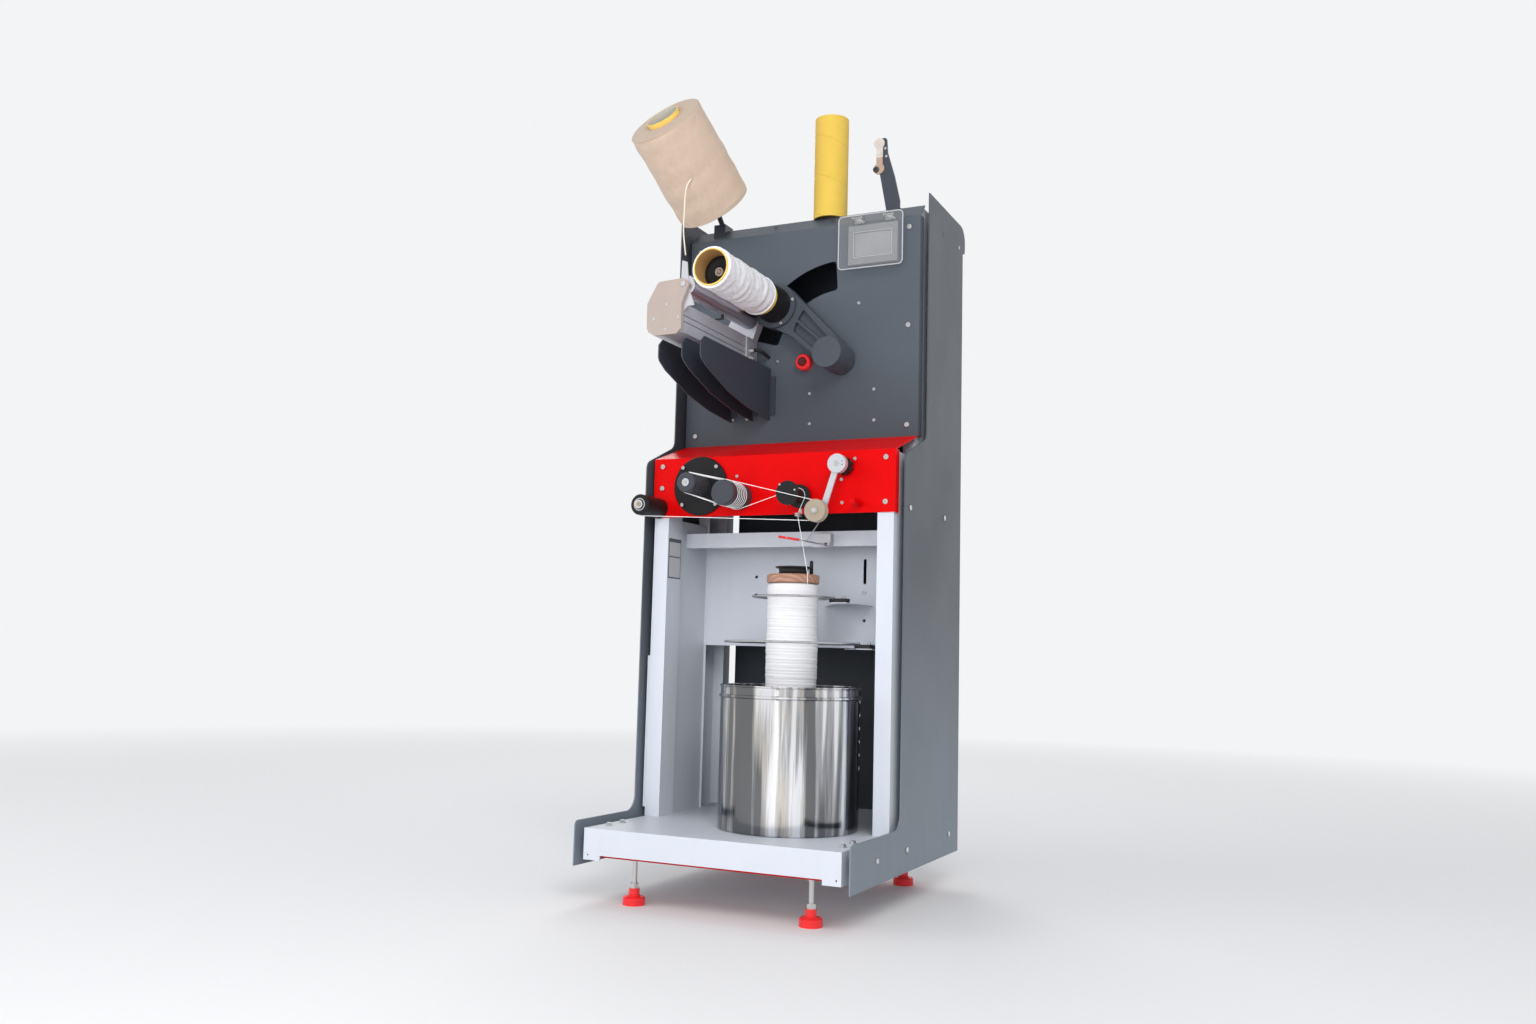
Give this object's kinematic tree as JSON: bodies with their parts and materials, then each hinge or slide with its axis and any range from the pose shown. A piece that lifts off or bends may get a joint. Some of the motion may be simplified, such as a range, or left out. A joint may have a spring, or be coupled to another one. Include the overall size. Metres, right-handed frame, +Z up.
{
  "type": "yarn cone winder",
  "caption": "Floor-standing yarn winder: swinging package arm, traverse unit, contact roller, feed rollers, dancer, drop wire, supply package in a can, operator screen.",
  "frame": {"origin": "on the floor, under the middle of the whole part's bounding box; the cabinet's own middle lies at x +0.0206, y -0.0095", "axes": "+X to the right seen from the front, +Y to the back, +Z up"},
  "size_m": [0.7003, 0.749, 1.942],
  "materials": {
    "slate_paint": "fine-textured powder coat",
    "red_paint": "satin powder coat",
    "pale_paint": "satin powder coat",
    "dark_metal": "matt black coat",
    "zinc": "zinc plated",
    "steel": "ground steel",
    "mirror_steel": "polished",
    "aluminium": "brushed and clear anodised",
    "black_plastic": "fine matt",
    "grey_plastic": "fine matt",
    "ivory_plastic": "smooth",
    "tan_plastic": "smooth ceramic-like",
    "red_plastic": "glossy",
    "yellow_tube": "printed paper, matt",
    "cream_yarn": "cross-wound yarn",
    "white_yarn": "cross-wound yarn",
    "orange_wood": "varnished",
    "clear_sheet": "clear acrylic sheet",
    "screen": "grey display glass"
  },
  "bodies": {
    "machine": {"side_panel_left": "slate_paint", "side_panel_right": "slate_paint", "base_tray": "pale_paint", "foot_rails": "red_paint", "foot_pads": "red_plastic", "base_fixings": "zinc", "front_posts": "pale_paint", "side_frames": "pale_paint", "inner_sheets": "pale_paint", "crossbar": "pale_paint", "upper_front_panel": "slate_paint", "red_front_panel": "red_paint", "rear_cover": "slate_paint", "panel_screws": "zinc", "traverse_front_plate": "aluminium", "traverse_rear_bracket": "pale_paint", "traverse_housing": "aluminium", "threading_blade": "steel", "guard_plates": "slate_paint", "fixed_shafts": "steel", "disc_plate": "dark_metal", "drive_motors": "dark_metal", "dancer_hub": "black_plastic", "stop_peg": "red_paint", "catch_can": "mirror_steel", "supply_yarn": "white_yarn", "spool_flanges": "orange_wood", "spool_knob": "black_plastic", "balloon_rings": "steel", "ring_holders": "black_plastic", "stop_sensor": "aluminium", "yarn_eyelet": "steel", "operator_housing": "grey_plastic", "operator_screen": "screen", "cover_hinges": "steel", "stop_collar": "red_plastic", "spare_tube": "yellow_tube", "creel_tube": "yellow_tube", "creel_yarn": "cream_yarn", "creel_holder": "slate_paint", "guide_arm": "slate_paint", "guide_pad": "ivory_plastic", "running_yarn": "white_yarn", "tail_yarn": "cream_yarn"},
    "arm": {"package_arm": "slate_paint", "spindle_motor": "dark_metal"},
    "package": {"spindle": "dark_metal", "winding_tube": "yellow_tube", "wound_yarn": "white_yarn"},
    "contact_roller": {"contact_roller": "steel"},
    "traverse_guide": {"traverse_guide": "black_plastic"},
    "feed_roller": {"feed_roller": "dark_metal"},
    "separator_roller": {"separator_roller": "dark_metal"},
    "idler_roller": {"idler_roller": "dark_metal"},
    "guide_pulley": {"guide_pulley": "dark_metal"},
    "dancer": {"dancer_arm": "aluminium"},
    "dancer_pulley": {"dancer_pulley": "tan_plastic"},
    "drop_wire": {"drop_wire": "steel"},
    "clear_cover": {"clear_cover": "clear_sheet"},
    "stop_button": {"stop_button": "red_plastic"}
  },
  "joints": [
    {"name": "arm_swing", "type": "hinge", "parent": "machine", "child": "arm", "pos_m": [0.1356, -0.0095, 1.286], "axis": [0, 1, 0], "range_deg": [0, 30]},
    {"name": "package_spin", "type": "hinge", "parent": "arm", "child": "package", "pos_m": [-0.02842, -0.1495, 1.42808], "axis": [0, 1, 0], "continuous": true},
    {"name": "contact_roller_spin", "type": "hinge", "parent": "machine", "child": "contact_roller", "pos_m": [-0.0934, -0.1695, 1.393], "axis": [0, 1, 0], "continuous": true},
    {"name": "traverse_slide", "type": "slide", "parent": "machine", "child": "traverse_guide", "axis": [0, 1, 0], "range_m": [-0.115, 0.115]},
    {"name": "feed_spin", "type": "hinge", "parent": "machine", "child": "feed_roller", "pos_m": [-0.1574, -0.1485, 0.96], "axis": [0, 1, 0], "continuous": true},
    {"name": "separator_spin", "type": "hinge", "parent": "machine", "child": "separator_roller", "pos_m": [-0.0544, -0.1485, 0.932], "axis": [0, 1, 0], "continuous": true},
    {"name": "idler_spin", "type": "hinge", "parent": "machine", "child": "idler_roller", "pos_m": [-0.2794, -0.1485, 0.91], "axis": [0, 1, 0], "continuous": true},
    {"name": "guide_pulley_spin", "type": "hinge", "parent": "machine", "child": "guide_pulley", "pos_m": [0.1036, -0.1485, 0.928], "axis": [0, 1, 0], "continuous": true},
    {"name": "dancer_swing", "type": "hinge", "parent": "machine", "child": "dancer", "pos_m": [0.2146, -0.1615, 0.995], "axis": [0, 1, 0], "range_deg": [-31, 12], "stiffness_Nm_per_rad": 0.3, "springref_deg": 6.3, "deforming": ["running_yarn"]},
    {"name": "dancer_pulley_spin", "type": "hinge", "parent": "dancer", "child": "dancer_pulley", "pos_m": [0.1786, -0.1975, 0.884], "axis": [0, 1, 0], "continuous": true},
    {"name": "drop_wire_fall", "type": "hinge", "parent": "machine", "child": "drop_wire", "pos_m": [0.1326, -0.0155, 0.824], "axis": [1, 0, 0], "range_deg": [0, 14]},
    {"name": "cover_swing", "type": "hinge", "parent": "machine", "child": "clear_cover", "pos_m": [0.2166, 0.0285, 1.637], "axis": [-1, 0, 0], "range_deg": [0, 90]},
    {"name": "stop_press", "type": "slide", "parent": "machine", "child": "stop_button", "axis": [0, 1, 0], "range_m": [0, 0.004], "stiffness_N_per_m": 1500}
  ],
  "couplings": [
    {"joint": "contact_roller_spin", "follows": "package_spin", "ratio": -2.1957},
    {"joint": "separator_spin", "follows": "feed_spin", "ratio": 0.8},
    {"joint": "idler_spin", "follows": "feed_spin", "ratio": 0.96},
    {"joint": "guide_pulley_spin", "follows": "feed_spin", "ratio": -1.4118},
    {"joint": "dancer_pulley_spin", "follows": "feed_spin", "ratio": 1.1429}
  ]
}
